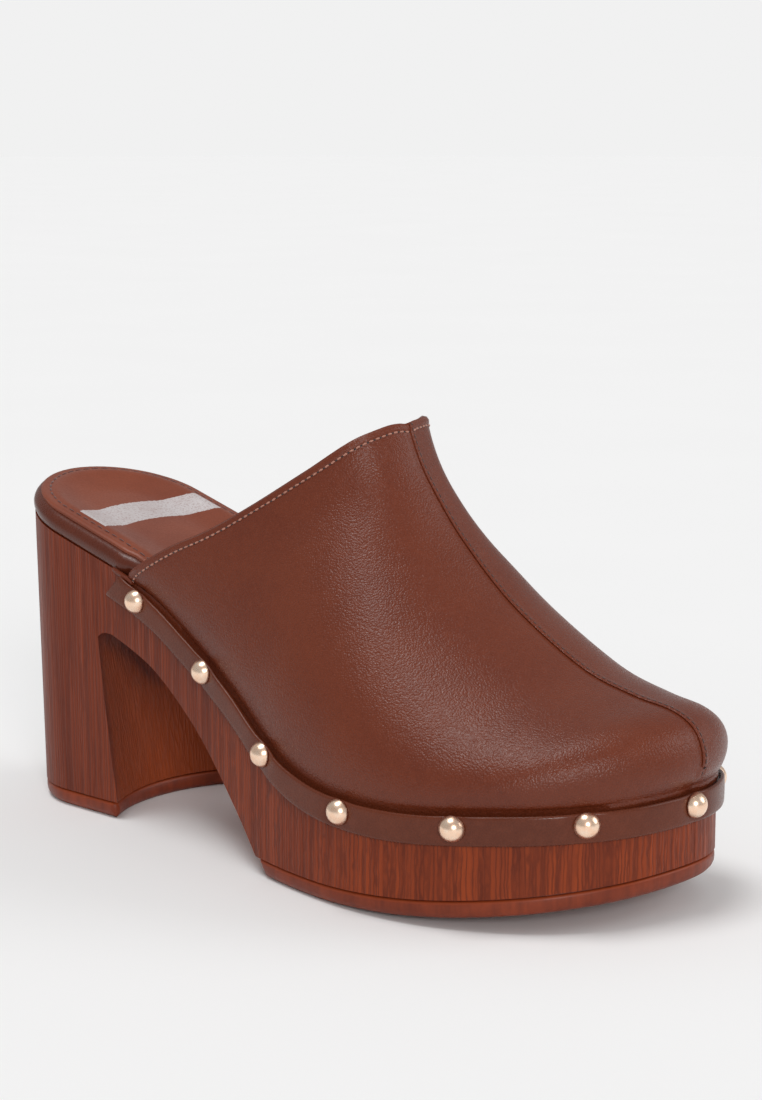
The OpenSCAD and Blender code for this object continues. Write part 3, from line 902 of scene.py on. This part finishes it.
def vampPiece(name, side, standsFor):
    columns, rows, skirt = vampShape["columns"], vampShape["rows"], vampShape["skirtRows"]

    def place(column, row):
        t = (column / columns)**1.4
        if row >= skirt:
            return toRow(*skinAt(side, t, 1 - (1 - (row - skirt) / rows)**1.5))
        e = edgeAt(fanPlace(side, t))
        depth = min(upper["bandHeight"], 1.5 + 30 * t)
        return toRow(e[0], e[1], topHeight(e[1]) - depth * (1 - row / skirt))

    shape = gridShape(columns, rows + skirt, place)
    bmesh.ops.remove_doubles(shape, verts=shape.verts, dist=0.000004)
    faceTowards(shape, Vector((side * 0.5, -0.2, 0.8)))
    piece = makePiece(name, shape, upperLeather, "upper_leather", standsFor, 60)
    addModifier(piece, "SOLIDIFY", thickness=upper["thick"] / 1000, offset=-1.0, use_even_offset=False)
    addModifier(piece, "BEVEL", width=0.0005, segments=3, limit_method="ANGLE", angle_limit=math.radians(55),
                harden_normals=False)
    return piece


vampPiece("vampOuterHalf", -1, ["vamp_lateral"])
vampPiece("vampInnerHalf", 1, ["vamp_medial"])


liningShape = {"columns": 70, "rows": 40, "sink": 1.62, "toeSink": 0.75}


def liningHalf(side):
    def place(column, row):
        t = 0.004 + 0.996 * (column / liningShape["columns"])**1.3
        sink = liningShape["sink"] + liningShape["toeSink"] * smooth(0.35, 0.66, t)
        return toRow(*upperAt(side, t, row / liningShape["rows"], sink))

    shape = gridShape(liningShape["columns"], liningShape["rows"], place)
    faceTowards(shape, Vector((side * 0.5, -0.2, 0.8)))
    return shape


def vampLining():
    shape = liningHalf(-1)
    mesh = meshFrom("liningHalf", liningHalf(1))
    shape.from_mesh(mesh)
    bpy.data.meshes.remove(mesh)
    bmesh.ops.remove_doubles(shape, verts=shape.verts, dist=0.00002)
    piece = makePiece("vampLining", shape, liningLeather, "lining_leather", ["vamp_lining"], 60)
    addModifier(piece, "SOLIDIFY", thickness=upper["liningThick"] / 1000, offset=-1.0)
    return piece


vampLining()

# footbed
bed = {"board": 2.0, "foam": 4.2, "sock": 1.3, "bowl": 2.3, "ridge": 0.5, "stitchIn": 3.0, "sockIn": 2.0,
       "sockAheadIn": 3.3, "cushionIn": 5.2, "heelSteps": 22, "across": 44}


def fromEdge(x, y):  # distance in from the plan's edge
    half = clog["heelHalf"]
    if y < cornerY:
        return half - math.sqrt(x * x + ((cornerY - y) * half / heelReach)**2)
    return min(x - wallAt(-1, y)[0], wallAt(1, y)[0] - x)


def dishAt(x, y):  # how far the footbed rises above its flat level
    d = fromEdge(x, y)
    seat = 1 - smooth(70, 110, y)
    rise = bed["ridge"] * math.exp(-((d - 7.0) / 2.2)**2) * seat
    rise -= bed["bowl"] * smooth(6.5, 20.0, d) * (0.35 + 0.65 * seat)
    rise -= 0.3 * math.exp(-((d - bed["sockIn"] - bed["stitchIn"]) / 0.55)**2) * seat
    return rise


def bedColumns():
    steps = bed["heelSteps"]
    ys = [cornerY - heelReach * math.cos(math.radians(90 * k / steps)) for k in range(steps + 1)]
    ys += [cornerY + 3 * k for k in range(1, 57)]
    p = placeOf(-1, 199.5)
    while p < toePlace - 0.08:
        ys.append(edgeAt(p)[1])
        p += 0.12
    ys.append(edgeAt(toePlace)[1])
    return ys


bedList = bedColumns()


def layerPiece(name, low, high, behind, ahead, finish, slotName, standsFor, roundOff, dished):
    across = bed["across"]
    half = across + 1

    def place(column, row):
        y, row = bedList[column], row % (2 * half)
        top = row <= across
        share = row / across if top else 1 - (row - half) / across
        share = 0.5 - 0.5 * math.cos(math.pi * clip(share, 0, 1))
        inset = mix(behind, ahead, smooth(59.4, 61.4, y))
        a, b = wallAt(-1, y, -inset), wallAt(1, y, -inset)
        p = a.lerp(b, share)
        d = fromEdge(p[0], p[1]) - inset
        z = topHeight(p[1]) + (high if top else low) + (dishAt(p[0], p[1]) if top or dished else 0)
        if top:
            z -= roundOff * (1 - smooth(0.0, 1.1, d))**2
        return toRow(p[0], p[1], z)

    return closedPiece(name, len(bedList) - 1, 2 * half, place, finish, slotName, standsFor, 50,
                       distance=0.00003)


cushion = layerPiece("footbedCushion", bed["board"] + 0.05, bed["board"] + bed["foam"], bed["cushionIn"],
                     bed["cushionIn"], foamFinish(), "foam", ["footbed_foam"], 0.6, False)
sockLow = bed["board"] + bed["foam"] + 0.05
layerPiece("sockLining", sockLow, sockLow + bed["sock"], bed["sockIn"], bed["sockAheadIn"], sockFinish,
           "sock_leather", ["sock_lining"], 0.55, True)

wrapShape = {"sideSteps": 34, "turnSteps": 56, "endY": 92.0, "inside": -5.15,
             "profile": [(-5.15, 0.15), (-2.0, 0.1), (-0.7, 0.12), (-0.3, 0.45), (-0.05, 1.1), (0.3, 2.0),
                         (0.36, 3.0), (0.2, 3.9), (-0.2, 4.75), (-0.85, 5.5), (-1.5, 6.0), (-2.3, 6.2),
                         (-5.15, 6.2), (-5.15, 3.0)]}


def wrapPlace(column, row):
    out, up = wrapShape["profile"][row % len(wrapShape["profile"])]
    sides, turn = wrapShape["sideSteps"], wrapShape["turnSteps"]
    if column <= sides:
        side, y = -1, mix(wrapShape["endY"], cornerY, column / sides)
    elif column >= sides + turn:
        side, y = 1, mix(cornerY, wrapShape["endY"], (column - sides - turn) / sides)
    else:
        angle = math.pi * (column - sides) / turn
        side, y = (-1 if angle < math.pi / 2 else 1), cornerY - heelReach * math.sin(angle)
    hide = (3.3 - 1.9 * smooth(0.5, 4, up)) * smooth(59.5, 63.5, y)  # it goes in under the upper
    out = max(out - hide, wrapShape["inside"])
    p = wallAt(side, y, out)
    wave = 0.1 * noise.noise(Vector((p[0], p[1], up)) / 11.0) if up > 0.5 and out > -3 else 0.0
    return toRow(p[0], p[1], topHeight(y) + up + wave)


closedPiece("footbedWrap", 2 * wrapShape["sideSteps"] + wrapShape["turnSteps"], len(wrapShape["profile"]),
            wrapPlace, wrapLeather, "sock_leather", ["footbed_wrap"], 50, distance=0.00001)


# stitches
stitching = {"topline": {"pitch": 2.1, "length": 1.5, "wide": 0.6, "high": 0.3, "lift": 0.12},
             "seam": {"pitch": 1.9, "length": 1.4, "wide": 0.42, "high": 0.22, "lift": 0.04},
             "sock": {"pitch": 3.4, "length": 2.7, "wide": 0.62, "high": 0.32, "lift": 0.08},
             "start": 0.6, "hole": 0.66}


def addStitch(shape, centre, along, up, length, wide, high, rings=5):
    along = along.normalized()
    across = up.cross(along).normalized()
    up = along.cross(across)
    turn = Matrix((along, across, up)).transposed().to_4x4()
    scale = Matrix.Diagonal((length / 2, wide / 2, high, 1))
    made = bmesh.ops.create_uvsphere(shape, u_segments=8, v_segments=rings, radius=1.0)
    matrix = Matrix.Translation(centre) @ turn @ scale
    for vert in made["verts"]:
        vert.co = toRow(*(matrix @ vert.co))


def walkLine(points, pitch):  # (centre, direction) every pitch along a line of points
    found, want, far = [], stitching["start"], 0.0
    for a, b in zip(points, points[1:]):
        step = (b - a).length
        while step > 0 and want <= far + step:
            share = (want - far) / step
            found.append((a.lerp(b, share), b - a))
            want += pitch
        far += step
    return found


def toplineRow(side):
    row = []
    for k in range(241):
        v = mix(0.014, 0.985, k / 240)
        low, high = 0.0, 0.3
        for step in range(14):
            t = (low + high) / 2
            if fromRim(side, upperAt(side, t, v, 0)) < vampShape["fold"]:
                low = t
            else:
                high = t
        row.append((skinAt(side, t, v), upperNormal(side, t, v)))
    return row


def seamRow():
    row = []
    for k in range(301):
        t = mix(0.008, 0.945, (k / 300)**1.3)
        reach = (upperAt(1, t, 1, 0) - upperAt(1, t, 0.97, 0)).length / 0.03
        v = 1 - vampShape["lapStitch"] / max(reach, 1)
        row.append((skinAt(1, t, v), upperNormal(1, t, v)))
    return row


def sockRow():
    points = []
    inset, endY = bed["sockIn"] + bed["stitchIn"], 74
    path = [(-1, mix(endY, cornerY, k / 40)) for k in range(40)]
    path += [(-1 if k < 40 else 1, cornerY - heelReach * math.sin(math.pi * k / 80)) for k in range(81)]
    path += [(1, mix(cornerY, endY, k / 40)) for k in range(1, 41)]
    for side, y in path:
        p = wallAt(side, y, -inset)
        z = topHeight(p[1]) + dishAt(p[0], p[1]) + sockLow + bed["sock"]
        points.append((Vector((p[0], p[1], z)), Vector((0, 0.25, 1)).normalized()))
    return points


def stitchRow(shape, row, look, holes=None):
    points = [point for point, normal in row]
    for centre, along in walkLine(points, look["pitch"]):
        nearest = min(range(len(points)), key=lambda index: (points[index] - centre).length_squared)
        normal = row[nearest][1]
        addStitch(shape, centre + normal * look["lift"], along, normal, look["length"], look["wide"],
                  look["high"])
        if holes is not None:
            # a flat dark mark between stitches, painted shade standing for the needle hole
            spot = centre + along.normalized() * look["pitch"] / 2
            hole = stitching["hole"]
            addStitch(holes, spot + normal * 0.02, along, normal, hole, hole * 0.85, 0.16, 4)


def stitches():
    pale, holes, dark, rust = bmesh.new(), bmesh.new(), bmesh.new(), bmesh.new()
    for side in (-1, 1):
        stitchRow(pale, toplineRow(side), stitching["topline"], holes)
    stitchRow(dark, seamRow(), stitching["seam"])
    stitchRow(rust, sockRow(), stitching["sock"])
    for name, shape, slotName, thread, light, deep in (
            ("toplineStitches", pale, "upper_leather", "paleThread", (196, 138, 116), (140, 86, 68)),
            # the hole marks are painted shade for the needle holes
            ("needleHoleShade", holes, "upper_leather", "needleHoleShadeThread", (40, 20, 14), (24, 12, 9)),
            ("seamStitches", dark, "upper_leather", "darkThread", (72, 34, 24), (40, 18, 13)),
            ("sockStitches", rust, "sock_leather", "rustThread", (104, 38, 22), (62, 22, 14))):
        bmesh.ops.recalc_face_normals(shape, faces=shape.faces)
        makePiece(name, shape, threadFinish(thread, tint(*light), tint(*deep)), slotName)


stitches()

# carried-over parts inside the clog
steelFinish = steel("shankSteel", tint(150, 146, 142), 0.34)
nailFinish = steel("nailSteel", tint(176, 172, 166), 0.28)
boardFinish = fibreBoard("insoleBoard", tint(196, 164, 122), tint(158, 126, 88))
puffFinish = fibreBoard("toeFelt", tint(214, 200, 174), tint(182, 166, 138))
insideFinishes = {"shank": steelFinish, "shank_rivets": nailFinish, "insole_tacks": nailFinish,
                  "top_piece_nails": nailFinish, "insole_board": boardFinish, "toe_puff": puffFinish}
for nodeName, nodeFinish in insideFinishes.items():
    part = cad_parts[nodeName]
    if not part.material_slots:
        part.data.materials.append(nodeFinish)
    for materialSlot in part.material_slots:
        materialSlot.material = nodeFinish
print("inside parts finished")

# floor, light and camera
studio = {"floor": tint(243, 243, 243), "around": 0.42, "seen": 0.879,
          "suns": {"topLight": ((0.22, -0.12, -1.0), 1.24, 26), "frontLight": ((0.55, 0.72, -0.36), 1.05, 17),
                   "sideLight": ((-0.62, 0.62, -0.45), 0.6, 34)},
          "lens": 82.27, "cameraAt": (-0.529636, -0.502477, 0.220981),
          "cameraAim": (0.72403, 0.66660, -0.17729)}


def paleFloor():
    f = Finish("paleFloor")
    mottle = f.noise(f.coordinates, 6, 2)
    color = f.blend(f.remap(mottle, 0.3, 0.7), studio["floor"], tint(242, 242, 242))
    shape = bmesh.new()
    bmesh.ops.create_circle(shape, cap_ends=True, segments=96, radius=9.0)
    mesh = meshFrom("studioFloor", shape)
    mesh.materials.append(f.finish(color, 0.9, Specular_IOR_Level=0.1))
    floor = placeInScene("studioFloor", mesh)


def addSun(name, travel, strength, softness):
    light = bpy.data.lights.new(name, "SUN")
    light.energy = strength
    light.angle = math.radians(softness)
    placeInScene(name, light).rotation_euler = Vector(travel).to_track_quat("-Z", "Y").to_euler()


paleFloor()
world = bpy.data.worlds.new("paleStudio")
world.use_nodes = True
worldNodes, worldLinks = world.node_tree.nodes, world.node_tree.links
path, choose = worldNodes.new("ShaderNodeLightPath"), worldNodes.new("ShaderNodeMixShader")
around, seen = worldNodes["Background"], worldNodes.new("ShaderNodeBackground")  # light given, and seen
for background, strength, socket in ((around, studio["around"], 1), (seen, studio["seen"], 2)):
    background.inputs["Color"].default_value = (1, 1, 1, 1)
    background.inputs["Strength"].default_value = strength
    worldLinks.new(background.outputs[0], choose.inputs[socket])
worldLinks.new(path.outputs["Is Camera Ray"], choose.inputs["Fac"])
worldLinks.new(choose.outputs[0], worldNodes["World Output"].inputs["Surface"])
bpy.context.scene.world = world
for sunName, values in studio["suns"].items():
    addSun(sunName, *values)

cameraData = bpy.data.cameras.new("studioCamera")
cameraData.sensor_width = 36
cameraData.sensor_fit = "AUTO"
cameraData.lens = studio["lens"]
cameraData.clip_start = 0.05
cameraData.clip_end = 50
camera = placeInScene("studioCamera", cameraData)
camera.location = studio["cameraAt"]
camera.rotation_euler = Vector(studio["cameraAim"]).to_track_quat("-Z", "Y").to_euler()
bpy.context.scene.camera = camera
bpy.context.scene.view_settings.view_transform = "Standard"
bpy.context.scene.view_settings.look = "None"
